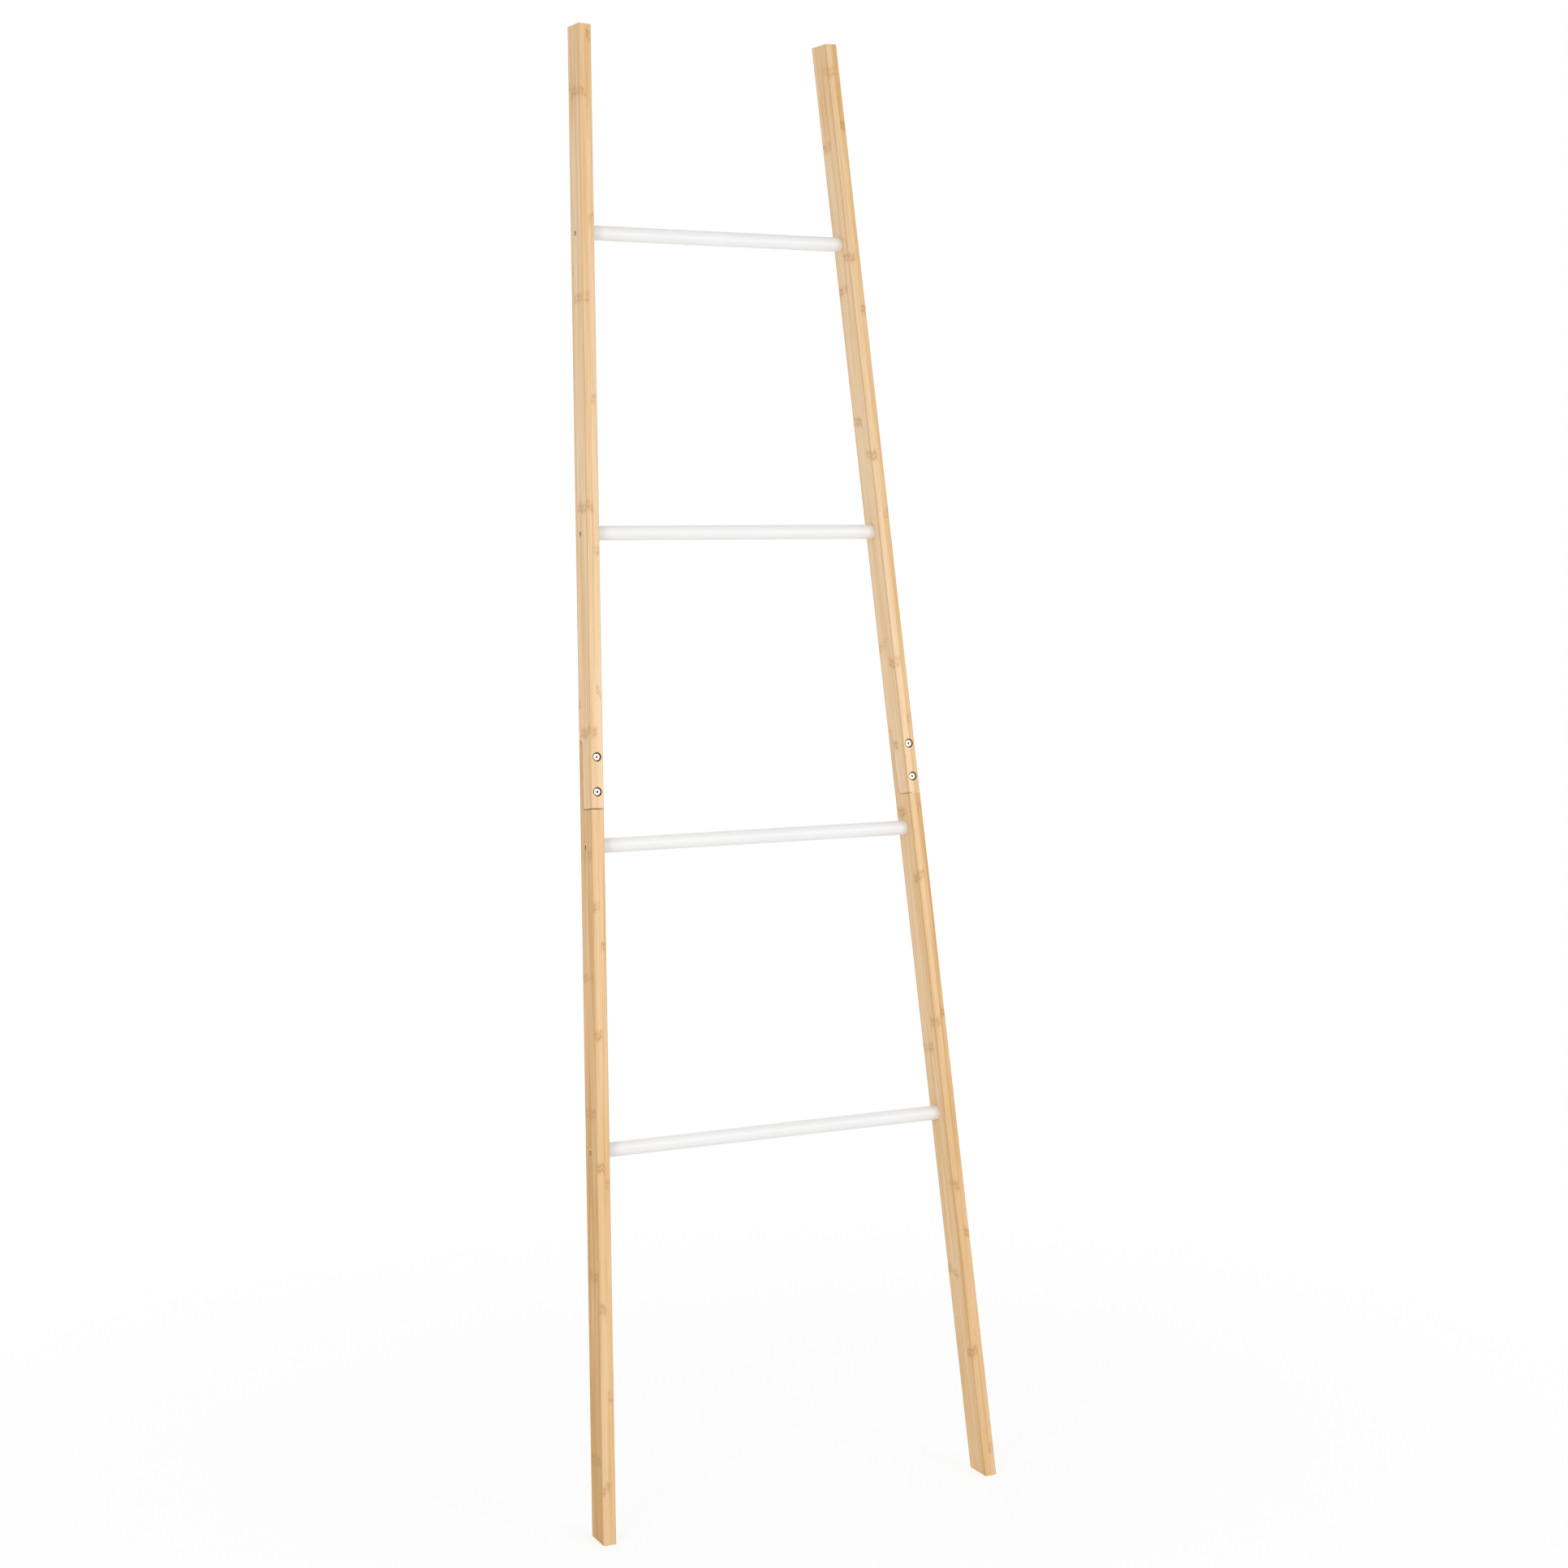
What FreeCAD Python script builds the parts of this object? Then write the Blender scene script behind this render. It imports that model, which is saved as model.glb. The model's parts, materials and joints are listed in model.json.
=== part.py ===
import FreeCAD, Part
import os
import re
import Sketcher

# A towel ladder that leans back against a wall: two splayed bamboo rails and four white rungs.
# Each rail is two lengths, joined half way up by an S-shaped lap that two bolts draw together.
# Each rung end sits in a socket in the rail, drawn in by a screw from the rail's outer face.
# The ladder is drawn in its own plane: X across, Y back from the rails' front face, Z up the plane.
# That plane is then leaned back, so that the feet lie flat on the floor.

# Driving sizes: lengths in millimetres, angles in degrees, shares without a unit.
SIZES = {
    # Whole ladder
    "stand_height": 1700,
    "lean_angle": 8.5,
    "foot_spacing": 491.5,
    "top_spacing": 317.5,
    # Rails
    "rail_width": 15,
    "rail_depth": 36,
    "rail_edge_radius": 1.5,
    # Lap between the lower and the upper length of a rail
    "lap_height_share": 0.499,
    "lap_length": 79,
    "lap_front_share": 0.72,
    "lap_corner_radius": 6,
    "lap_shoulder_gap": 0.4,
    # Lap bolts and their nuts
    "bolt_spacing_share": 0.5,
    "bolt_diameter": 4,
    "bolt_head_diameter": 7,
    "bolt_head_height": 4,
    "bolt_socket_width": 3,
    "bolt_socket_depth": 2,
    "bolt_recess": 2,
    "bolt_hole_clearance": 0.25,
    "bolt_end_gap": 1,
    "counterbore_clearance": 1.9,
    "nut_width": 7,
    "nut_cover": 1.8,
    "nut_clearance": 0.05,
    "thread_clearance": 0.05,
    # Rungs, and their places along the rails
    "rung_diameter": 17,
    "rung_depth_share": 0.6,
    "rung_socket_depth": 3,
    "rung_socket_clearance": 0.15,
    "bottom_rung_rise": 434.6,
    "second_rung_drop": 40.9,
    "third_rung_rise": 237.7,
    "top_rung_drop": 237.5,
    # Rung screws
    "screw_diameter": 4.5,
    "screw_length": 35,
    "screw_head_diameter": 8,
    "screw_recess_span": 4.6,
    "screw_recess_slot": 1.1,
    "screw_recess_depth": 1.3,
    "screw_sink": 0.2,
    "screw_seat_clearance": 0.1,
    "screw_hole_clearance": 0.25,
    "screw_turn_angle": 40,
    # Cuts start and end this far outside the wood
    "cut_overrun": 5,
}

# Sizes that follow from the driving ones.
FORMULAS = {
    "plane_length": "stand_height / cos(lean_angle)",
    "splay_angle": "atan((foot_spacing - top_spacing) / 2 / plane_length)",
    "rail_length": "plane_length / cos(splay_angle)",
    "rail_half_width": "rail_width / 2 / cos(splay_angle)",
    "end_slope": "tan(lean_angle) / cos(splay_angle)",
    "footprint_depth": "stand_height * tan(lean_angle) + rail_depth / cos(lean_angle)",
    "lap_height": "rail_length * lap_height_share",
    "lap_face_depth": "rail_depth * lap_front_share",
    "front_shoulder": "lap_height - lap_length / 2",
    "back_shoulder": "lap_height + lap_length / 2",
    "bolt_spacing": "lap_length * bolt_spacing_share",
    "bolt_hole_diameter": "bolt_diameter + 2 * bolt_hole_clearance",
    "counterbore_diameter": "bolt_head_diameter + 2 * counterbore_clearance",
    "counterbore_depth": "bolt_head_height + bolt_recess",
    "nut_length": "rail_depth - lap_face_depth - nut_cover",
    "nut_bore": "bolt_diameter + 2 * thread_clearance",
    "nut_seat_width": "nut_width + 2 * nut_clearance",
    "bolt_length": "lap_face_depth - counterbore_depth + nut_length - bolt_end_gap",
    "bolt_end": "bolt_head_height + bolt_length",
    "rung_depth": "rail_depth * rung_depth_share",
    "rung_socket_radius": "rung_diameter / 2 + rung_socket_clearance",
    "rung_seat": "rail_half_width - rung_socket_depth",
    "rung_bore": "screw_diameter + 2 * thread_clearance",
    "screw_head_height": "(screw_head_diameter - screw_diameter) / 2",
    "screw_head_place": "rail_half_width - screw_sink",
    "screw_hole_radius": "screw_diameter / 2 + screw_hole_clearance",
    "screw_seat_radius": "screw_head_diameter / 2 + screw_seat_clearance",
    "screw_seat_start": "screw_head_place - screw_seat_radius + screw_hole_radius",
}

SIDES = {"left": -1, "right": 1}
RUNGS = {"lower": ("bottom_rung", "second_rung"), "upper": ("third_rung", "top_rung")}

# Places along a rail's middle line, from the foot.
RUNG_PLACES = {
    "bottom_rung": "bottom_rung_rise",
    "second_rung": "(front_shoulder - second_rung_drop)",
    "third_rung": "(back_shoulder + third_rung_rise)",
    "top_rung": "(rail_length - top_rung_drop)",
}
BOLT_PLACES = {"lower": "lap_height - bolt_spacing / 2", "upper": "lap_height + bolt_spacing / 2"}

ACROSS = FreeCAD.Vector(1, 0, 0)
BACK = FreeCAD.Vector(0, 1, 0)
UP = FreeCAD.Vector(0, 0, 1)
FULL_TURN = 360
QUARTER_TURN = 90
HEX_CORNER_ANGLES = range(0, FULL_TURN, 60)

# Two places, or two directions, are taken as the same within these.
SAME_PLACE = 1e-6
TINY_ANGLE = 1e-6

# The rails' side outlines, as depth and height: the lower length's tongue goes up behind,
# the upper length's tongue comes down in front, and the top end is level when the ladder leans.
RAIL_OUTLINES = {
    "lower": (
        ("0", "-cut_overrun"),
        ("rail_depth", "-cut_overrun"),
        ("rail_depth", "back_shoulder"),
        ("lap_face_depth", "back_shoulder"),
        ("lap_face_depth", "front_shoulder"),
        ("0", "front_shoulder"),
    ),
    "upper": (
        ("0", "front_shoulder + lap_shoulder_gap"),
        ("lap_face_depth", "front_shoulder + lap_shoulder_gap"),
        ("lap_face_depth", "back_shoulder + lap_shoulder_gap"),
        ("rail_depth", "back_shoulder + lap_shoulder_gap"),
        ("rail_depth", "rail_length + rail_depth * end_slope"),
        ("0", "rail_length"),
    ),
}

# The floor, seen from the side of the ladder's own plane: all of the rail below it is cut off.
FLOOR_OUTLINE = (
    ("-cut_overrun", "-cut_overrun * tan(lean_angle)"),
    ("-cut_overrun", "-2 * cut_overrun"),
    ("rail_depth + cut_overrun", "-2 * cut_overrun"),
    ("rail_depth + cut_overrun", "(rail_depth + cut_overrun) * tan(lean_angle)"),
)

# Half outline of the hole at a rung end, as the way outwards from the rail's middle and the radius:
# the rung's socket, the screw's hole and the countersink.
RUNG_HOLE_OUTLINE = (
    ("-rail_half_width - cut_overrun", "0"),
    ("-rail_half_width - cut_overrun", "rung_socket_radius"),
    ("-rung_seat", "rung_socket_radius"),
    ("-rung_seat", "screw_hole_radius"),
    ("screw_seat_start", "screw_hole_radius"),
    ("rail_half_width + cut_overrun", "screw_seat_radius + screw_sink + cut_overrun"),
    ("rail_half_width + cut_overrun", "0"),
)

# Half outlines of the turned pieces, as radius and distance along the axis.
SCREW_OUTLINE = (
    ("0", "0"),
    ("screw_head_diameter / 2", "0"),
    ("screw_diameter / 2", "screw_head_height"),
    ("screw_diameter / 2", "screw_length"),
    ("0", "screw_length"),
)
BOLT_OUTLINE = (
    ("0", "0"),
    ("bolt_head_diameter / 2", "0"),
    ("bolt_head_diameter / 2", "bolt_head_height"),
    ("bolt_diameter / 2", "bolt_head_height"),
    ("bolt_diameter / 2", "bolt_end"),
    ("0", "bolt_end"),
)

doc = FreeCAD.newDocument("towel_ladder")
sheet = doc.addObject("Spreadsheet::Sheet", "Sizes")
pieces = []


def fill_sheet():
    rows = [(alias, str(number)) for alias, number in SIZES.items()]
    rows += [(alias, "=" + formula) for alias, formula in FORMULAS.items()]
    for row, (alias, content) in enumerate(rows, start=1):
        sheet.set(f"A{row}", alias)
        sheet.set(f"B{row}", content)
        sheet.setAlias(f"B{row}", alias)
    doc.recompute()


def size(expression):
    """The number that an expression in the sheet's names comes to."""
    result = sheet.evalExpression(expression)
    return getattr(result, "Value", result)


def bind(thing, target, expression):
    """Tie a property or a constraint to an expression in the sheet's names."""
    def with_sheet(word):
        known = word[0] in SIZES or word[0] in FORMULAS
        return "Sizes." + word[0] if known else word[0]
    thing.setExpression(target, re.sub("[a-z_]+", with_sheet, expression))


def moved(place=("0", "0", "0"), axis=UP, angle="0"):
    """An expression for a turn about an axis, followed by a move to a place."""
    turn = f"rotation(vector({axis.x}; {axis.y}; {axis.z}); {angle})"
    return f"placement(vector({'; '.join(place)}); {turn})"


def new_body(label, *moves):
    """A piece at its place in the leaning ladder, given as moves from the ladder's plane inwards."""
    body = doc.addObject("PartDesign::Body", label)
    body.Label = label
    leaned = moved(("0", "-footprint_depth / 2", "0"), ACROSS, "-lean_angle")
    bind(body, "Placement", " * ".join((leaned, *moves)))
    pieces.append(body)
    return body


def new_sketch(body, name, role, offset=None):
    """A sketch on one of the body's own planes, or moved from it within that plane's axes."""
    plane = next(feature for feature in body.Origin.OriginFeatures if feature.Role == role)
    sketch = body.newObject("Sketcher::SketchObject", name)
    sketch.AttachmentSupport = [(plane, "")]
    sketch.MapMode = "FlatFace"
    if offset:
        bind(sketch, "AttachmentOffset", offset)
    return sketch


def pin_point(sketch, curve, end, place):
    """Hold one point of a curve at a place given as two expressions."""
    for kind, axis_line, expression in zip(("DistanceX", "DistanceY"), (-2, -1), place):
        if expression == "0":
            sketch.addConstraint(Sketcher.Constraint("PointOnObject", curve, end, axis_line))
        else:
            number = sketch.addConstraint(Sketcher.Constraint(kind, curve, end, size(expression)))
            bind(sketch, f"Constraints[{number}]", expression)


def draw_polygon(sketch, corners):
    """A closed outline of straight lines through corners given as pairs of expressions."""
    points = [FreeCAD.Vector(size(first), size(second), 0) for first, second in corners]
    lines = []
    for start, end in zip(points, points[1:] + points[:1]):
        lines.append(sketch.addGeometry(Part.LineSegment(start, end), False))
    for line, following in zip(lines, lines[1:] + lines[:1]):
        sketch.addConstraint(Sketcher.Constraint("Coincident", line, 2, following, 1))
    for line, corner in zip(lines, corners):
        pin_point(sketch, line, 1, corner)


def draw_circle(sketch, centre, diameter):
    point = FreeCAD.Vector(size(centre[0]), size(centre[1]), 0)
    circle = sketch.addGeometry(Part.Circle(point, UP, size(diameter) / 2), False)
    pin_point(sketch, circle, 3, centre)
    number = sketch.addConstraint(Sketcher.Constraint("Diameter", circle, size(diameter)))
    bind(sketch, f"Constraints[{number}]", diameter)


def draw_rectangle(sketch, width, height):
    """A rectangle about the sketch's origin."""
    signs = ((-1, -1), (1, -1), (1, 1), (-1, 1))
    draw_polygon(sketch, [(f"{x} * {width} / 2", f"{y} * {height} / 2") for x, y in signs])


def draw_hexagon(sketch, centre, width):
    corner = f"{width} / 2 / cos(30)"
    corners = []
    for angle in HEX_CORNER_ANGLES:
        corners.append((f"{centre[0]} + {corner} * cos({angle})", f"{centre[1]} + {corner} * sin({angle})"))
    draw_polygon(sketch, corners)


def pad(body, sketch, length, side_type="Symmetric"):
    """Thicken a sketch, by half the length to each side unless told otherwise."""
    feature = body.newObject("PartDesign::Pad", sketch.Name + "_pad")
    feature.Profile = sketch
    feature.SideType = side_type
    bind(feature, "Length", length)
    doc.recompute()
    return feature


def turn_solid(body, outline):
    """A turned piece about the body's own Z axis."""
    sketch = new_sketch(body, "outline", "XZ_Plane")
    draw_polygon(sketch, outline)
    feature = body.newObject("PartDesign::Revolution", "turned")
    feature.Profile = sketch
    feature.ReferenceAxis = (sketch, ["V_Axis"])
    feature.Angle = FULL_TURN
    doc.recompute()


def cut(body, kind, sketch, length=None, **settings):
    """A pocket or a groove, which has to take material away."""
    volume_before = body.Shape.Volume
    feature = body.newObject(kind, sketch.Name + "_cut")
    feature.Profile = sketch
    if length:
        bind(feature, "Length", length)
    for name, setting in settings.items():
        setattr(feature, name, setting)
    doc.recompute()
    if body.Shape.Volume >= volume_before:
        raise RuntimeError(f"{feature.Name} of {body.Label} cuts nothing")


def round_edges(body, base, direction, depths, radius):
    """Round the straight edges that run one way at any of the given depths."""
    names = []
    for number, edge in enumerate(base.Shape.Edges, start=1):
        straight = edge.Curve.TypeId == "Part::GeomLine"
        if not straight or not edge.Curve.Direction.isParallel(direction, TINY_ANGLE):
            continue
        middle = edge.CenterOfMass.y
        if any(abs(middle - size(depth)) < SAME_PLACE for depth in depths):
            names.append(f"Edge{number}")
    feature = body.newObject("PartDesign::Fillet", "rounding")
    feature.Base = (base, names)
    bind(feature, "Radius", radius)
    doc.recompute()
    return feature


def along_rail(side):
    """The move from a rail's own axes, Z up its middle line, to the ladder's plane."""
    foot = (f"{SIDES[side]} * foot_spacing / 2", "0", "0")
    return moved(foot, BACK, f"{-SIDES[side]} * splay_angle")


def into_rung(side, rung, way_out):
    """The move to a rung's axis near a rail, with Z pointing along the rung."""
    reach = f"foot_spacing / 2 - {RUNG_PLACES[rung]} * sin(splay_angle) + {way_out}"
    place = (f"{SIDES[side]} * ({reach})", "rung_depth", f"{RUNG_PLACES[rung]} * cos(splay_angle)")
    return moved(place, BACK, f"{-SIDES[side] * QUARTER_TURN}")


def into_lap(place, depth):
    """The move to a lap bolt's axis in a rail, with Z pointing into the wood."""
    return moved(("0", depth, BOLT_PLACES[place]), ACROSS, f"{-QUARTER_TURN}")


def rung_hole(body, side, rung):
    """Socket, screw hole and countersink along the rung's axis, which meets the rail at the splay."""
    offset = moved(("0", RUNG_PLACES[rung], "-rung_depth"), UP, f"{-SIDES[side]} * splay_angle")
    sketch = new_sketch(body, f"{rung}_hole", "XZ_Plane", offset)
    draw_polygon(sketch, [(f"{SIDES[side]} * ({out})", radius) for out, radius in RUNG_HOLE_OUTLINE])
    cut(body, "PartDesign::Groove", sketch, ReferenceAxis=(sketch, ["H_Axis"]), Angle=FULL_TURN)


def lap_holes(body, name, draw, width, depth, start="0"):
    """A hole of the drawn shape at each bolt, from a start depth backwards."""
    sketch = new_sketch(body, name, "XZ_Plane", moved(("0", "0", f"-1 * {start}")))
    for place in BOLT_PLACES.values():
        draw(sketch, ("0", place), width)
    cut(body, "PartDesign::Pocket", sketch, depth)


def rail(side, half):
    """One length of a rail, in its own axes: X across, Y back, Z up its middle line."""
    body = new_body(f"{side}_{half}_rail", along_rail(side))
    outline = new_sketch(body, "side_outline", "YZ_Plane")
    draw_polygon(outline, RAIL_OUTLINES[half])
    blank = pad(body, outline, "rail_width")
    lapped = round_edges(body, blank, ACROSS, ["lap_face_depth"], "lap_corner_radius")
    round_edges(body, lapped, UP, ["0", "rail_depth"], "rail_edge_radius")
    if half == "upper":
        lap_holes(body, "counterbores", draw_circle, "counterbore_diameter", "counterbore_depth")
        lap_holes(body, "bolt_holes", draw_circle, "bolt_hole_diameter", "rail_depth")
    else:
        lap_holes(body, "nut_seats", draw_hexagon, "nut_seat_width", "nut_length", "lap_face_depth")
        level = moved(axis=ACROSS, angle=f"{SIDES[side]} * splay_angle")
        floor = new_sketch(body, "floor", "YZ_Plane", level)
        draw_polygon(floor, FLOOR_OUTLINE)
        cut(body, "PartDesign::Pocket", floor, Type="ThroughAll", SideType="Symmetric")
    for rung in RUNGS[half]:
        rung_hole(body, side, rung)


def rung_bar(rung):
    """A round bar, bored from end to end for its two screws."""
    middle = moved(("0", "rung_depth", f"{RUNG_PLACES[rung]} * cos(splay_angle)"))
    body = new_body(rung, middle)
    section = new_sketch(body, "section", "YZ_Plane")
    draw_circle(section, ("0", "0"), "rung_diameter")
    draw_circle(section, ("0", "0"), "rung_bore")
    half_length = f"(foot_spacing / 2 - {RUNG_PLACES[rung]} * sin(splay_angle) - rung_seat)"
    pad(body, section, f"2 * {half_length}")


def rung_screw(side, rung, number):
    """A countersunk screw with a cross recess, each driven to a turn of its own."""
    driven = moved(angle=f"{number} * screw_turn_angle")
    body = new_body(f"{rung}_{side}_screw", into_rung(side, rung, "screw_head_place"), driven)
    turn_solid(body, SCREW_OUTLINE)
    slots = (("screw_recess_span", "screw_recess_slot"), ("screw_recess_slot", "screw_recess_span"))
    for width, height in slots:
        slot = new_sketch(body, "slot", "XY_Plane")
        draw_rectangle(slot, width, height)
        cut(body, "PartDesign::Pocket", slot, "screw_recess_depth", Reversed=True)


def lap_bolt(side, place):
    """A cap bolt with a hexagon socket."""
    body = new_body(f"{side}_{place}_bolt", along_rail(side), into_lap(place, "bolt_recess"))
    turn_solid(body, BOLT_OUTLINE)
    socket = new_sketch(body, "socket", "XY_Plane")
    draw_hexagon(socket, ("0", "0"), "bolt_socket_width")
    cut(body, "PartDesign::Pocket", socket, "bolt_socket_depth", Reversed=True)


def lap_nut(side, place):
    """A long hexagonal nut, let into the back tongue of the lap."""
    body = new_body(f"{side}_{place}_nut", along_rail(side), into_lap(place, "lap_face_depth"))
    section = new_sketch(body, "section", "XY_Plane")
    draw_hexagon(section, ("0", "0"), "nut_width")
    draw_circle(section, ("0", "0"), "nut_bore")
    pad(body, section, "nut_length", "One side")


def build_ladder():
    for side in SIDES:
        for half in RUNGS:
            rail(side, half)
        for place in BOLT_PLACES:
            lap_bolt(side, place)
            lap_nut(side, place)
    screw_number = 0
    for rung in RUNGS["lower"] + RUNGS["upper"]:
        rung_bar(rung)
        for side in SIDES:
            screw_number += 1
            rung_screw(side, rung, screw_number)
    doc.recompute()


def check_ladder():
    for thing in doc.Objects:
        if "Invalid" in thing.State or "Error" in thing.State:
            raise RuntimeError(f"{thing.Label} failed: {thing.State}")
    for body in pieces:
        if body.Shape.isNull() or not body.Shape.isValid() or len(body.Shape.Solids) != 1:
            raise RuntimeError(f"{body.Label} is not one sound solid")


def write_ladder():
    os.makedirs("parts", exist_ok=True)
    for body in pieces:
        body.Shape.exportStep(f"parts/{body.Label}.step")


fill_sheet()
build_ladder()
check_ladder()
write_ladder()
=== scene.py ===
import json
import math

import bpy
from mathutils import Matrix, Vector


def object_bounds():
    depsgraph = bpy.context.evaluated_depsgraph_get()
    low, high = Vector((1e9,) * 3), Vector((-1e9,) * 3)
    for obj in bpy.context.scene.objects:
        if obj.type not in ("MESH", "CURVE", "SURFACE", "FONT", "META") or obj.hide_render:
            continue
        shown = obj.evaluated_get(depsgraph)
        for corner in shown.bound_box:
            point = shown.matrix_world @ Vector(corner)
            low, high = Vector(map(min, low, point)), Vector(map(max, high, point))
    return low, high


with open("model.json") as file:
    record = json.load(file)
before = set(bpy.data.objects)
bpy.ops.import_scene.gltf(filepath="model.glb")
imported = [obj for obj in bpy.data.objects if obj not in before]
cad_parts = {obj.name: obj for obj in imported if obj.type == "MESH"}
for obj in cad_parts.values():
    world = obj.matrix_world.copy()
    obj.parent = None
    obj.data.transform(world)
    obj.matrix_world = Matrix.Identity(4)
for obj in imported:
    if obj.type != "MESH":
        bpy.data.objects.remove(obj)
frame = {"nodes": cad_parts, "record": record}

# Surfaces, light and camera for a leaning towel ladder of laminated bamboo with white rungs.
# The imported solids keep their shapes. Lengths are in metres, colours are linear.

CAD_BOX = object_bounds()
NODES = frame["nodes"]
MOUNTS = {mount["name"]: Vector(mount["pos_m"]) for mount in frame["record"]["mounts"]}
SIDES = ("left", "right")
HALVES = ("lower", "upper")
RUNGS = ("bottom_rung", "second_rung", "third_rung", "top_rung")

# Camera, as fitted to the picture
IMAGE_PIXELS = 1932
FOCAL_PIXELS = 3334.75
SENSOR_WIDTH = 36.0
CAMERA_PLACE = (-1.3666, -2.8351, 1.1483)
CAMERA_TURN = math.radians(26.42)
CAMERA_TILT = math.radians(-5.84)

# Rail section, the strips that it is glued up from, and the lap between its two lengths
RAIL_WIDTH = 0.015
RAIL_DEPTH = 0.036
LAYER_BORDER = 0.0005
STRIP_BORDER = 0.004
LAP_FACE = 0.0079
LAP_RADIUS = 0.006

# Knots: heights up each rail, by strip. The edge strip wraps the corner that faces left and forward
# and reaches edge_reach back along the side, where the side strip begins. The front strip lies to the
# right of the edge strip, and the far strip behind the front one.
RAILS = {
    "left_lower_rail": {
        "edge_reach": 0.003,
        "edge": (0.060, 0.255, 0.414, 0.563, 0.706),
        "side": (0.088, 0.290, 0.473, 0.627, 0.765),
        "front": (0.159, 0.398, 0.661),
        "far": (0.110, 0.340, 0.590, 0.800),
    },
    "left_upper_rail": {
        "edge_reach": 0.028,
        "edge": (0.904, 1.162, 1.401, 1.641),
        "side": (0.938, 1.188, 1.440, 1.654),
        "front": (0.950, 1.110, 1.285, 1.492, 1.706),
        "far": (0.930, 1.210, 1.460, 1.680),
    },
    "right_lower_rail": {
        "edge_reach": 0.011,
        "edge": (0.147, 0.346, 0.542, 0.717),
        "side": (0.242, 0.511, 0.795),
        "front": (0.031, 0.289, 0.552, 0.800),
        "far": (0.120, 0.330, 0.600, 0.840),
    },
    "right_upper_rail": {
        "edge_reach": 0.014,
        "edge": (0.973, 1.223, 1.463, 1.686),
        "side": (0.876, 0.996, 1.267, 1.428, 1.599),
        "front": (0.903, 1.155, 1.397, 1.621),
        "far": (0.950, 1.190, 1.430, 1.660),
    },
}
STRIPS = ("edge", "side", "front", "far")

# How dark each strip is at its lower and upper end: 0 is pale, 1 golden and 2 amber
TONES = {
    "left_lower_rail": {
        "edge": (0.62, 0.80), "side": (1.95, 1.40), "front": (0.70, 0.95), "far": (0.80, 0.80),
    },
    "left_upper_rail": {
        "edge": (0.58, 0.48), "side": (0.70, 0.70), "front": (0.08, 0.20), "far": (0.40, 0.60),
    },
    "right_lower_rail": {
        "edge": (1.00, 0.66), "side": (0.85, 0.56), "front": (0.50, 1.75), "far": (0.55, 0.55),
    },
    "right_upper_rail": {
        "edge": (0.08, 0.28), "side": (0.08, 0.28), "front": (1.22, 0.62), "far": (0.40, 0.60),
    },
}

# How much darker the rails' top ends are, and the heights between which that begins
TOP_TONE = 0.55
TOP_HEIGHTS = (1.56, 1.67)

# Noise: the span that holds most of its values, and how finely it is broken up
NOISE_SPAN = (0.3, 0.7)
PLAIN_DETAIL = 2.0
FINE_DETAIL = 3.0

# Bands of darker and paler wood, as how wide they are along X, Y and Z and how far they change the tone
TONE_BANDS = {(0.006, 0.009, 0.25): 0.30, (0.0020, 0.0060, 0.16): 0.34}

# Fibres: their grain, the share of the coarse ones, how dark they are, and their relief
FIBRE_CELL = (0.0011, 0.0020, 0.09)
FINE_FIBRE_CELL = (0.0005, 0.0005, 0.022)
FIBRE_SHARE = 0.7
FIBRE_SHADE = 0.30
FIBRE_RELIEF = 0.00004

# A knot's two wavy lines, the stain between them, and how both come and go
KNOT_WAVE_CELL = (0.0050, 0.0110, 0.0600)
KNOT_WAVE_SPAN = (0.25, 0.75)
KNOT_WAVE = 0.0034
KNOT_STAIN_REACH = (0.0095, 0.0025)
KNOT_STAIN = 0.32
KNOT_LINE_OFFSET = 0.0030
KNOT_LINE_WIDTH = 0.0022
KNOT_LINE = 0.24
KNOT_FADE_CELL = (0.0050, 0.0100, 0.0150)
KNOT_FADE_SPAN = (0.30, 0.60)
KNOT_FADE = (0.20, 1.0)
NO_KNOT = 1.0

# The dark border of the side faces along their corners, by depth from the front and from the side
CORNER_REACH = (0.0042, 0.0015)
CORNER_SKIN = (0.0006, 0.0002)
CORNER_SHADE = 0.55

# The lap's line, a dark joint darkened also as painted shade of its gap and eased edges: how it fades
# sideways, the grain of the noise that breaks it up, how plainly it shows on each rail, at least and at
# most, and how deep it is for the relief
SEAM_REACH = (0.0013, 0.0003)
SEAM_CELL = (0.004, 0.004, 0.012)
SEAM_SPAN = (0.3, 0.6)
SEAM_STRENGTH = {"left": (0.45, 0.85), "right": (0.05, 0.30)}
SEAM_RELIEF = 1.5

# End faces by how far they turn along the rail, their fibre bundles, and how deep the cut faces begin, whose
# bare wood is darkened also as painted shade in the holes and gaps
END_TURN = (0.75, 0.95)
BUNDLE_SCALE = 900.0
BUNDLE_SPAN = (0.25, 0.55)
CUT_DEPTH = (0.0006, 0.0012)

# Satin lacquer on the bamboo: roughness from dark to pale fibres, and how strongly it shines
BAMBOO_ROUGHNESS = (0.42, 0.30)
BAMBOO_SHINE = 0.2
LACQUER_WEIGHT = 0.2
LACQUER_ROUGHNESS = 0.18

# Paint and plating: their grain, relief and roughness, and the depths at which painted shade darkens a
# head's drive
PEEL_CELL = (0.0012, 0.0012, 0.0012)
CLOUD_CELL = (0.05, 0.02, 0.02)
SCRATCH_CELL = (0.0002, 0.0010, 0.0004)
WORN_CELL = (0.002, 0.002, 0.002)
FINE_RELIEF = 0.00001
PAINT_ROUGHNESS = (0.34, 0.46)
ZINC_ROUGHNESS = (0.28, 0.42)
SOCKET_DEPTH = (0.0002, 0.0008)
RECESS_DEPTH = (0.0003, 0.0006)

# Light that the world sheds, and lamps as place, size and power
WORLD_LIGHT = 0.80
LAMPS = {
    "left_lamp": ((-2.1, -1.8, 1.25), 0.6, 17.0),
    "right_lamp": ((1.3, -2.65, 1.40), 0.9, 16.0),
    "back_lamp": ((0.4, 2.80, 1.50), 1.6, 14.0),
}

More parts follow.
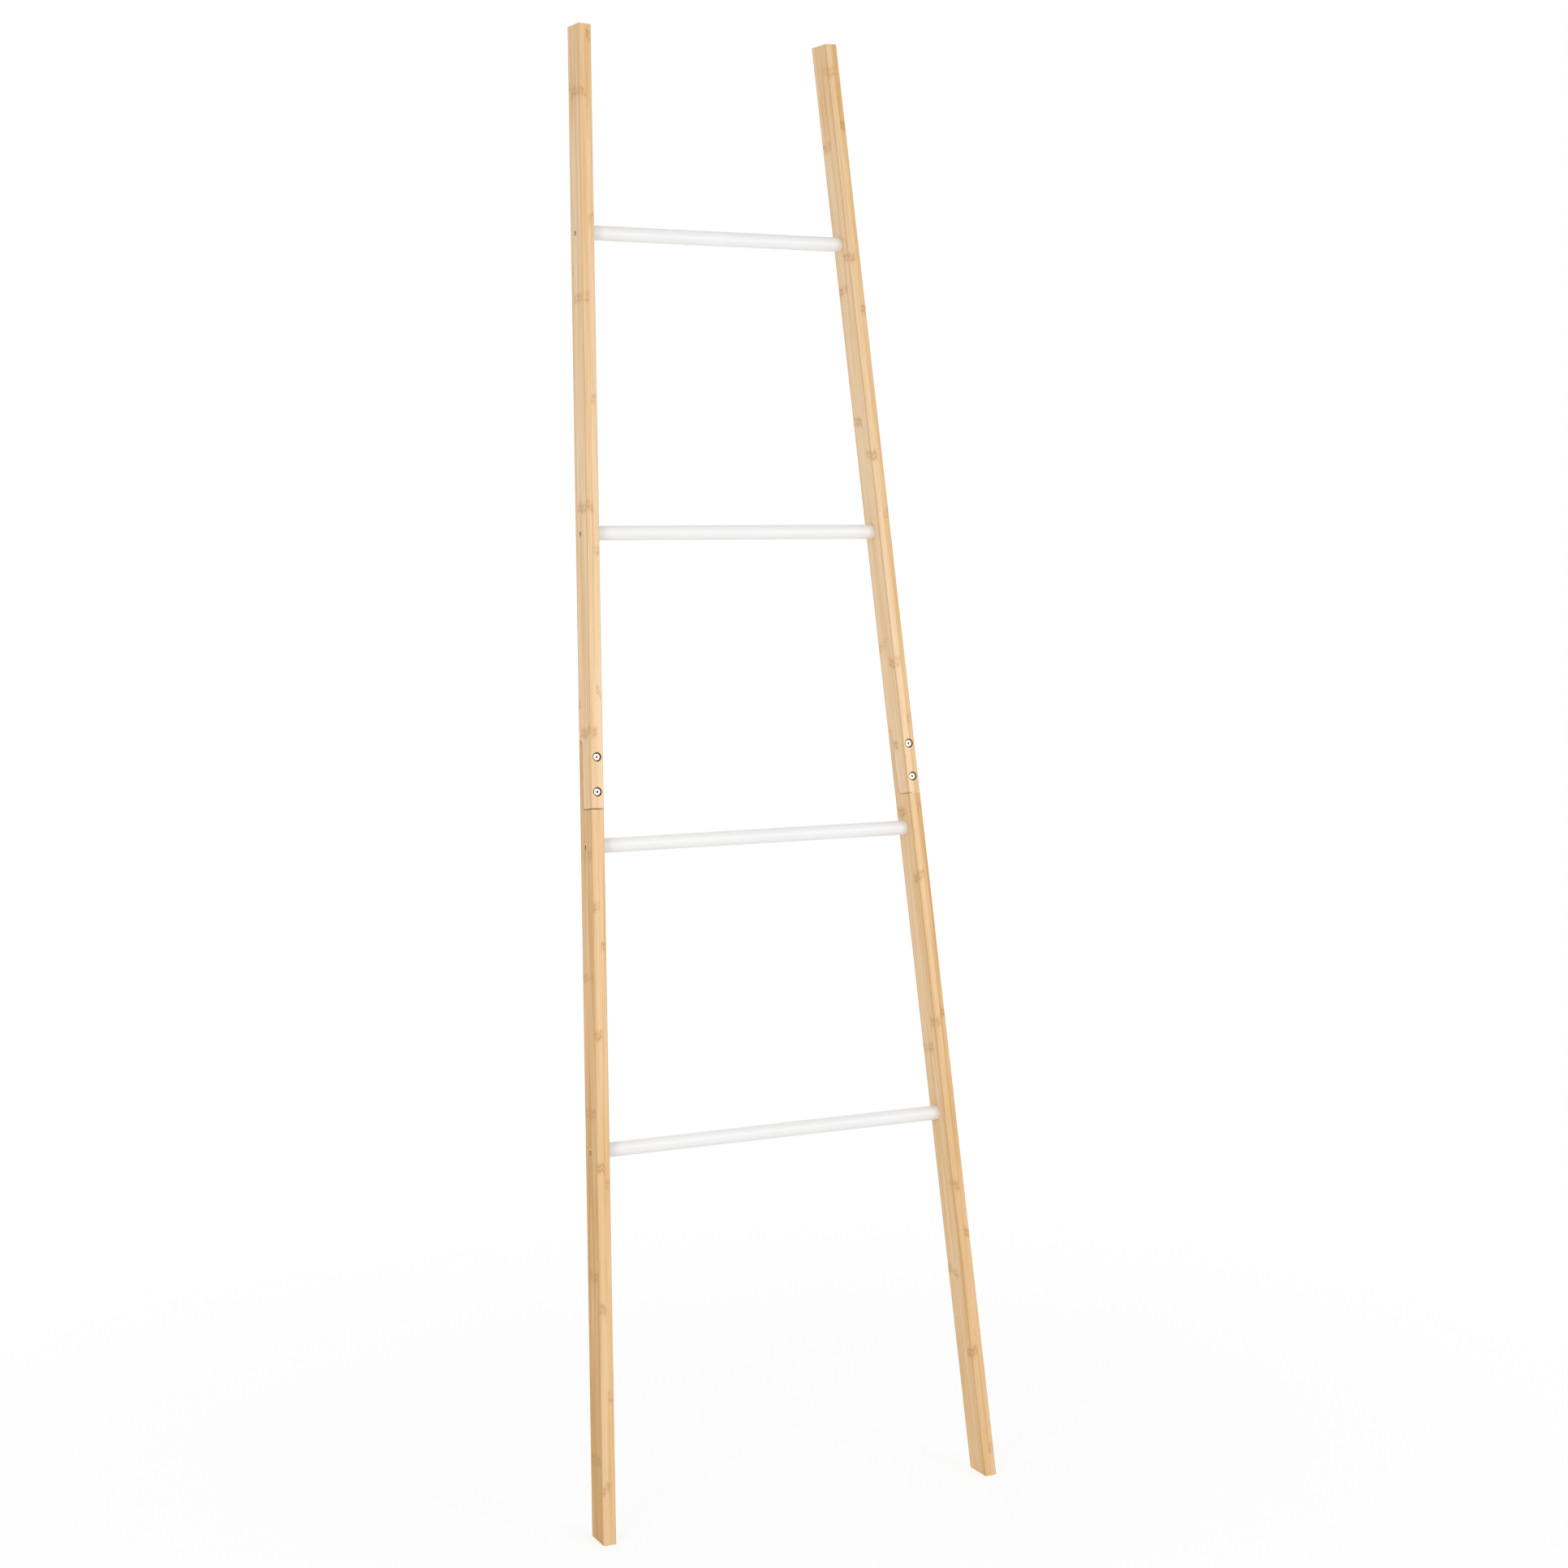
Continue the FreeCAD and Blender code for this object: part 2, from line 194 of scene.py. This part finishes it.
# Floor: half its side, its grain and roughness, where it fades to white, and its share of white before that
FLOOR_HALF = 15.0
FLOOR_CELL = (0.02, 0.02, 0.02)
FLOOR_ROUGHNESS = 0.9
FLOOR_FADE = (0.4, 1.4)
FLOOR_WHITE = 0.80

# Bamboo colours
PALE_STRAW = (0.805, 0.595, 0.370, 1)
GOLDEN_STRAW = (0.720, 0.462, 0.220, 1)
AMBER_STRAW = (0.525, 0.268, 0.040, 1)
FIBRE_BROWN = (0.545, 0.315, 0.125, 1)
KNOT_BROWN = (0.400, 0.178, 0.036, 1)
# The lap's dark line, partly painted shade of its gap and eased edges
SEAM_SHADE_BROWN = (0.230, 0.095, 0.030, 1)
# Bare cut wood in holes, sockets and the lap, darkened also as painted shade
CUT_AND_SHADE_BROWN = (0.480, 0.300, 0.150, 1)
END_GRAIN = (0.560, 0.370, 0.190, 1)

# Paint, plating and floor colours
DULL_WHITE = (0.775, 0.775, 0.765, 1)
CLEAR_WHITE = (0.815, 0.815, 0.805, 1)
BRIGHT_ZINC = (0.80, 0.80, 0.78, 1)
# Painted shade down in a bolt's hex socket
SOCKET_PAINTED_SHADE = (0.10, 0.09, 0.08, 1)
YELLOW_ZINC = (0.78, 0.58, 0.31, 1)
# Painted shade down in a screw's cross recess
RECESS_PAINTED_SHADE = (0.04, 0.027, 0.015, 1)
WORN_SHARE = 0.9
FLOOR_COLOURS = ((0.90, 0.90, 0.90, 1), (0.93, 0.93, 0.93, 1))
WHITE = (1, 1, 1, 1)


class Shader:
    """The node tree of a new material, or of the world, built up by short calls."""

    def __init__(self, owner):
        if isinstance(owner, str):
            owner = self.material = bpy.data.materials.new(owner)
            owner.use_nodes = True
            self.surface = owner.node_tree.nodes["Principled BSDF"].inputs
        self.tree = owner.node_tree

    def node(self, kind, inputs=(), **settings):
        node = self.tree.nodes.new(kind)
        for name, setting in settings.items():
            setattr(node, name, setting)
        for socket, value in dict(inputs).items():
            self.feed(node.inputs[socket], value)
        return node

    def feed(self, socket, value):
        if isinstance(value, bpy.types.NodeSocket):
            self.tree.links.new(value, socket)
        else:
            socket.default_value = value

    def math(self, operation, *values):
        return self.node("ShaderNodeMath", enumerate(values), operation=operation).outputs[0]

    def ramp(self, value, start, end, low=0.0, high=1.0):
        """A smooth step from low at start to high at end."""
        inputs = {"Value": value, "From Min": start, "From Max": end, "To Min": low, "To Max": high}
        return self.node("ShaderNodeMapRange", inputs, interpolation_type="SMOOTHSTEP").outputs["Result"]

    def mix(self, factor, first, second):
        """Two colours mixed; the node's colour sockets are numbers 6 and 7, and its colour output is 2."""
        inputs = {0: factor, 6: first, 7: second}
        return self.node("ShaderNodeMix", inputs, data_type="RGBA").outputs[2]

    def noise(self, vector, cell, detail=PLAIN_DETAIL):
        """Noise whose grains are about cell wide along X, Y and Z."""
        scaled = self.node("ShaderNodeVectorMath", {0: vector, 1: cell}, operation="DIVIDE").outputs[0]
        inputs = {"Vector": scaled, "Scale": 1.0, "Detail": detail}
        return self.node("ShaderNodeTexNoise", inputs).outputs["Fac"]

    def bump(self, height, depth):
        """Relief of a given depth, for a height from 0 to 1."""
        inputs = {"Height": height, "Distance": depth, "Strength": 1.0}
        self.feed(self.surface["Normal"], self.node("ShaderNodeBump", inputs).outputs["Normal"])

    def object_place(self):
        return self.node("ShaderNodeTexCoord").outputs["Object"]

    def rail_place(self, side):
        """A point in a rail's own axes: X across, Y back, Z up, from the middle of its foot."""
        foot, turn = rail_axes(side)
        inputs = {"Vector": self.object_place(), "Location": foot, "Rotation": turn.to_euler()}
        return self.node("ShaderNodeMapping", inputs, vector_type="TEXTURE").outputs["Vector"]

    def split(self, vector):
        return self.node("ShaderNodeSeparateXYZ", {"Vector": vector}).outputs


def rail_axes(side):
    """The middle of a rail's foot, and the turn of its own axes."""
    foot = MOUNTS[f"{side}_foot"]
    half_depth = foot.y - CAD_BOX[0].y
    top = MOUNTS[f"{side}_wall_edge"] - Vector((0, half_depth, 0))
    up = (top - foot).normalized()
    back = up.cross(Vector((1, 0, 0))).normalized()
    return foot, Matrix((back.cross(up), back, up)).transposed()


def strip_masks(shader, across, back, edge_reach):
    """Which of the four glued strips a point is in, as four numbers of 0 or 1."""
    right = shader.math("GREATER_THAN", across, LAYER_BORDER)
    left = shader.math("SUBTRACT", 1.0, right)
    behind_edge = shader.math("GREATER_THAN", back, edge_reach - RAIL_DEPTH / 2)
    behind_front = shader.math("GREATER_THAN", back, STRIP_BORDER)
    side = shader.math("MULTIPLY", left, behind_edge)
    far = shader.math("MULTIPLY", right, behind_front)
    return {
        "edge": shader.math("SUBTRACT", left, side),
        "side": side,
        "front": shader.math("SUBTRACT", right, far),
        "far": far,
    }


def knot_distance(shader, up, masks, knots):
    """The distance along the rail to the nearest knot of the point's own strip."""
    total = 0.0
    for strip in STRIPS:
        nearest = NO_KNOT
        for height in knots[strip]:
            offset = shader.math("ABSOLUTE", shader.math("SUBTRACT", up, height))
            nearest = shader.math("MINIMUM", offset, nearest)
        total = shader.math("ADD", shader.math("MULTIPLY", nearest, masks[strip]), total)
    return total


def own_points(node_name, side):
    """A node's points in its rail's own axes."""
    foot, turn = rail_axes(side)
    to_rail = turn.transposed()
    return [to_rail @ (vertex.co - foot) for vertex in NODES[node_name].data.vertices]


def seam_distance(shader, side, back, up):
    """The distance from the S-shaped line between a rail's two lengths, which looks the same upside down."""
    bottom = min(point.z for point in own_points(f"{side}_upper_rail", side))
    top = max(point.z for point in own_points(f"{side}_lower_rail", side))
    rise = shader.math("SUBTRACT", up, (bottom + top) / 2)
    aside = shader.math("MULTIPLY", shader.math("SUBTRACT", back, LAP_FACE), shader.math("SIGN", rise))
    past_face = shader.math("SUBTRACT", LAP_RADIUS, aside)
    past_shoulder = shader.math("SUBTRACT", shader.math("ABSOLUTE", rise), (top - bottom) / 2 - LAP_RADIUS)
    inside = shader.math("MINIMUM", shader.math("MAXIMUM", past_face, past_shoulder), 0.0)
    ways = (past_face, past_shoulder)
    squares = [shader.math("POWER", shader.math("MAXIMUM", way, 0.0), 2.0) for way in ways]
    outside = shader.math("SQRT", shader.math("ADD", *squares))
    return shader.math("ABSOLUTE", shader.math("SUBTRACT", shader.math("ADD", inside, outside), LAP_RADIUS))


def knot_shade(shader, place, up, masks, knots):
    """How dark the knots are: two wavy lines that come and go, with a faint stain between them."""
    waves = shader.noise(place, KNOT_WAVE_CELL, FINE_DETAIL)
    wobble = shader.ramp(waves, *KNOT_WAVE_SPAN, -KNOT_WAVE, KNOT_WAVE)
    distance = knot_distance(shader, shader.math("ADD", up, wobble), masks, knots)
    stain = shader.ramp(distance, *KNOT_STAIN_REACH, 0.0, KNOT_STAIN)
    off_line = shader.math("ABSOLUTE", shader.math("SUBTRACT", distance, KNOT_LINE_OFFSET))
    line = shader.ramp(off_line, KNOT_LINE_WIDTH, 0.0, 0.0, KNOT_LINE)
    fading = shader.ramp(shader.noise(place, KNOT_FADE_CELL), *KNOT_FADE_SPAN, *KNOT_FADE)
    return shader.math("MULTIPLY", shader.math("ADD", stain, line), fading)


def bamboo(node_name, side):
    """Laminated bamboo under satin lacquer: strips with fibres and knots, end grain, a dark lap line with
    painted shade, and bare cut faces darkened also as painted shade.
    """
    knots = RAILS[node_name]
    shader = Shader(f"bamboo_{node_name}")
    place = shader.rail_place(side)
    across, back, up = shader.split(place)
    masks = strip_masks(shader, across, back, knots["edge_reach"])

    tone = 0.0
    heights = [point.z for point in own_points(node_name, side)]
    for strip, ends in TONES[node_name].items():
        strip_tone = shader.ramp(up, min(heights), max(heights), *ends)
        tone = shader.math("MULTIPLY_ADD", masks[strip], strip_tone, tone)
    for cell, spread in TONE_BANDS.items():
        band = shader.ramp(shader.noise(place, cell), *NOISE_SPAN, -spread, spread)
        tone = shader.math("ADD", tone, band)
    tone = shader.math("ADD", tone, shader.ramp(up, *TOP_HEIGHTS, 0.0, TOP_TONE))
    colour = shader.mix(tone, PALE_STRAW, GOLDEN_STRAW)
    colour = shader.mix(shader.math("SUBTRACT", tone, 1.0), colour, AMBER_STRAW)

    fibres = shader.math("MULTIPLY", shader.noise(place, FIBRE_CELL, FINE_DETAIL), FIBRE_SHARE)
    fine_fibres = shader.math("MULTIPLY", shader.noise(place, FINE_FIBRE_CELL), 1 - FIBRE_SHARE)
    streaks = shader.math("ADD", fibres, fine_fibres)
    colour = shader.mix(shader.ramp(streaks, *NOISE_SPAN, FIBRE_SHADE, 0.0), colour, FIBRE_BROWN)

    knot = knot_shade(shader, place, up, masks, knots)
    colour = shader.mix(knot, colour, KNOT_BROWN)

    under_side = shader.math("SUBTRACT", RAIL_WIDTH / 2, shader.math("ABSOLUTE", across))
    under_front = shader.math("SUBTRACT", RAIL_DEPTH / 2, shader.math("ABSOLUTE", back))
    near_corner = shader.ramp(under_front, *CORNER_REACH, 0.0, CORNER_SHADE)
    corner = shader.math("MULTIPLY", near_corner, shader.ramp(under_side, *CORNER_SKIN))
    colour = shader.mix(corner, colour, FIBRE_BROWN)

    # The lap's line: a dark joint, darkened also as painted shade of its gap and eased edges
    seam = shader.ramp(seam_distance(shader, side, back, up), *SEAM_REACH)
    seam_strength = shader.ramp(shader.noise(place, SEAM_CELL), *SEAM_SPAN, *SEAM_STRENGTH[side])
    colour = shader.mix(shader.math("MULTIPLY", seam, seam_strength), colour, SEAM_SHADE_BROWN)

    normal = shader.node("ShaderNodeTexCoord").outputs["Normal"]
    inputs = {0: normal, 1: rail_axes(side)[1].col[2]}
    along = shader.node("ShaderNodeVectorMath", inputs, operation="DOT_PRODUCT").outputs["Value"]
    end_face = shader.ramp(shader.math("ABSOLUTE", along), *END_TURN)
    inputs = {"Vector": place, "Scale": BUNDLE_SCALE}
    bundles = shader.node("ShaderNodeTexVoronoi", inputs).outputs["Distance"]
    end_colour = shader.mix(shader.ramp(bundles, *BUNDLE_SPAN), KNOT_BROWN, END_GRAIN)
    colour = shader.mix(end_face, colour, end_colour)

    # Cut faces deep in the holes and gaps: bare wood, darkened also as painted shade
    buried = shader.ramp(shader.math("MINIMUM", under_side, under_front), *CUT_DEPTH)
    bare_and_shaded = shader.math("MULTIPLY", buried, shader.math("SUBTRACT", 1.0, end_face))
    colour = shader.mix(bare_and_shaded, colour, CUT_AND_SHADE_BROWN)

    shader.feed(shader.surface["Base Color"], colour)
    shader.surface["Specular IOR Level"].default_value = BAMBOO_SHINE
    shader.surface["Coat Weight"].default_value = LACQUER_WEIGHT
    shader.surface["Coat Roughness"].default_value = LACQUER_ROUGHNESS
    shader.feed(shader.surface["Roughness"], shader.ramp(streaks, *NOISE_SPAN, *BAMBOO_ROUGHNESS))
    sunk = shader.math("ADD", knot, shader.math("MULTIPLY", seam, SEAM_RELIEF))
    shader.bump(shader.math("SUBTRACT", streaks, sunk), FIBRE_RELIEF)
    return shader.material


def white_coat():
    """Satin white paint on the rungs, with a faint orange-peel relief."""
    shader = Shader("white_coat")
    place = shader.object_place()
    peel = shader.noise(place, PEEL_CELL)
    clouds = shader.noise(place, CLOUD_CELL)
    shader.feed(shader.surface["Base Color"], shader.mix(clouds, DULL_WHITE, CLEAR_WHITE))
    shader.feed(shader.surface["Roughness"], shader.ramp(peel, *NOISE_SPAN, *PAINT_ROUGHNESS))
    shader.bump(peel, FINE_RELIEF)
    return shader.material


def plated_steel(name, bright, dark, painted_shade_by_depth):
    """Plated steel, bright on the head's face, with painted shade down in its drive recess."""
    shader = Shader(name)
    place = shader.object_place()
    scratches = shader.noise(place, SCRATCH_CELL, FINE_DETAIL)
    worn = shader.noise(place, WORN_CELL)
    face = shader.mix(worn, bright, [WORN_SHARE * part for part in bright[:3]] + [1])
    # Painted shade: the head's drive recess turns dark by its depth
    shader.feed(shader.surface["Base Color"], shader.mix(painted_shade_by_depth(shader), face, dark))
    shader.surface["Metallic"].default_value = 1.0
    shader.feed(shader.surface["Roughness"], shader.ramp(scratches, *NOISE_SPAN, *ZINC_ROUGHNESS))
    shader.bump(scratches, FINE_RELIEF)
    return shader.material


def bolt_steel(side):
    """Bright zinc on a bolt, with painted shade by its depth behind the head's face."""
    head_depth = min(point.y for point in own_points(f"{side}_lower_bolt", side))

    def depth(shader):
        back = shader.split(shader.rail_place(side))[1]
        return shader.ramp(shader.math("SUBTRACT", back, head_depth), *SOCKET_DEPTH)
    return plated_steel(f"bolt_zinc_{side}", BRIGHT_ZINC, SOCKET_PAINTED_SHADE, depth)


def screw_steel(side):
    """Yellow zinc on a screw, with painted shade by its depth under the rail's outer face."""
    def depth(shader):
        across = shader.split(shader.rail_place(side))[0]
        under_face = shader.math("SUBTRACT", RAIL_WIDTH / 2, shader.math("ABSOLUTE", across))
        return shader.ramp(under_face, *RECESS_DEPTH)
    return plated_steel(f"screw_zinc_{side}", YELLOW_ZINC, RECESS_PAINTED_SHADE, depth)


def dress(node_name, material):
    slots = NODES[node_name].data.materials
    slots.clear()
    slots.append(material)


def dress_ladder():
    white = white_coat()
    for rung in RUNGS:
        dress(rung, white)
    for side in SIDES:
        bolt = bolt_steel(side)
        screw = screw_steel(side)
        for half in HALVES:
            dress(f"{side}_{half}_rail", bamboo(f"{side}_{half}_rail", side))
            dress(f"{side}_{half}_bolt", bolt)
            dress(f"{side}_{half}_nut", bolt)
        for rung in RUNGS:
            dress(f"{rung}_{side}_screw", screw)


def background_ray(shader):
    """One where the background is seen, also in a gloss or through glass, and nought where it lights."""
    path = shader.node("ShaderNodeLightPath").outputs
    mirrored = shader.math("MAXIMUM", path["Is Glossy Ray"], path["Is Transmission Ray"])
    return shader.math("MAXIMUM", path["Is Camera Ray"], mirrored)


def lay_floor():
    """A plain pale floor that keeps the ladder's shadow and fades to white away from it."""
    corners = [(FLOOR_HALF * x, FLOOR_HALF * y, 0) for x, y in ((-1, -1), (1, -1), (1, 1), (-1, 1))]
    mesh = bpy.data.meshes.new("floor")
    mesh.from_pydata(corners, [], [(0, 1, 2, 3)])
    floor = bpy.data.objects.new("floor", mesh)
    bpy.context.scene.collection.objects.link(floor)

    shader = Shader("floor_white")
    nodes = shader.tree.nodes
    place = shader.object_place()
    speckle = shader.noise(place, FLOOR_CELL, FINE_DETAIL)
    shader.feed(shader.surface["Base Color"], shader.mix(speckle, *FLOOR_COLOURS))
    shader.surface["Roughness"].default_value = FLOOR_ROUGHNESS
    away = shader.node("ShaderNodeVectorMath", {0: place}, operation="LENGTH").outputs["Value"]
    white = shader.ramp(away, *FLOOR_FADE, FLOOR_WHITE, 1.0)
    seen = shader.math("MULTIPLY", background_ray(shader), white)
    glow = shader.node("ShaderNodeEmission", {"Color": WHITE, "Strength": 1.0}).outputs[0]
    plain = nodes["Principled BSDF"].outputs[0]
    both = shader.node("ShaderNodeMixShader", {0: seen, 1: plain, 2: glow}).outputs[0]
    shader.feed(nodes["Material Output"].inputs["Surface"], both)
    mesh.materials.append(shader.material)


def light_world():
    """Even light from all round, and white behind the ladder."""
    world = bpy.data.worlds.new("studio")
    bpy.context.scene.world = world
    world.use_nodes = True
    shader = Shader(world)
    background = shader.tree.nodes["Background"].inputs
    background["Color"].default_value = WHITE
    shader.feed(background["Strength"], shader.ramp(background_ray(shader), 0.0, 1.0, WORLD_LIGHT, 1.0))


def add_lamp(name, place, size, power):
    """A square soft lamp that faces the middle of the ladder."""
    lamp = bpy.data.lights.new(name, "AREA")
    lamp.size = size
    lamp.energy = power
    holder = bpy.data.objects.new(name, lamp)
    holder.location = place
    middle = (CAD_BOX[0] + CAD_BOX[1]) / 2
    holder.rotation_euler = (middle - Vector(place)).to_track_quat("-Z", "Y").to_euler()
    bpy.context.scene.collection.objects.link(holder)


def add_camera():
    camera = bpy.data.cameras.new("camera")
    camera.sensor_width = SENSOR_WIDTH
    camera.lens = SENSOR_WIDTH * FOCAL_PIXELS / IMAGE_PIXELS
    holder = bpy.data.objects.new("camera", camera)
    holder.location = CAMERA_PLACE
    holder.rotation_euler = (math.pi / 2 + CAMERA_TILT, 0, -CAMERA_TURN)
    bpy.context.scene.collection.objects.link(holder)
    bpy.context.scene.camera = holder


dress_ladder()
lay_floor()
light_world()
for name, (place, size, power) in LAMPS.items():
    add_lamp(name, place, size, power)
add_camera()
bpy.context.scene.view_settings.view_transform = "Standard"
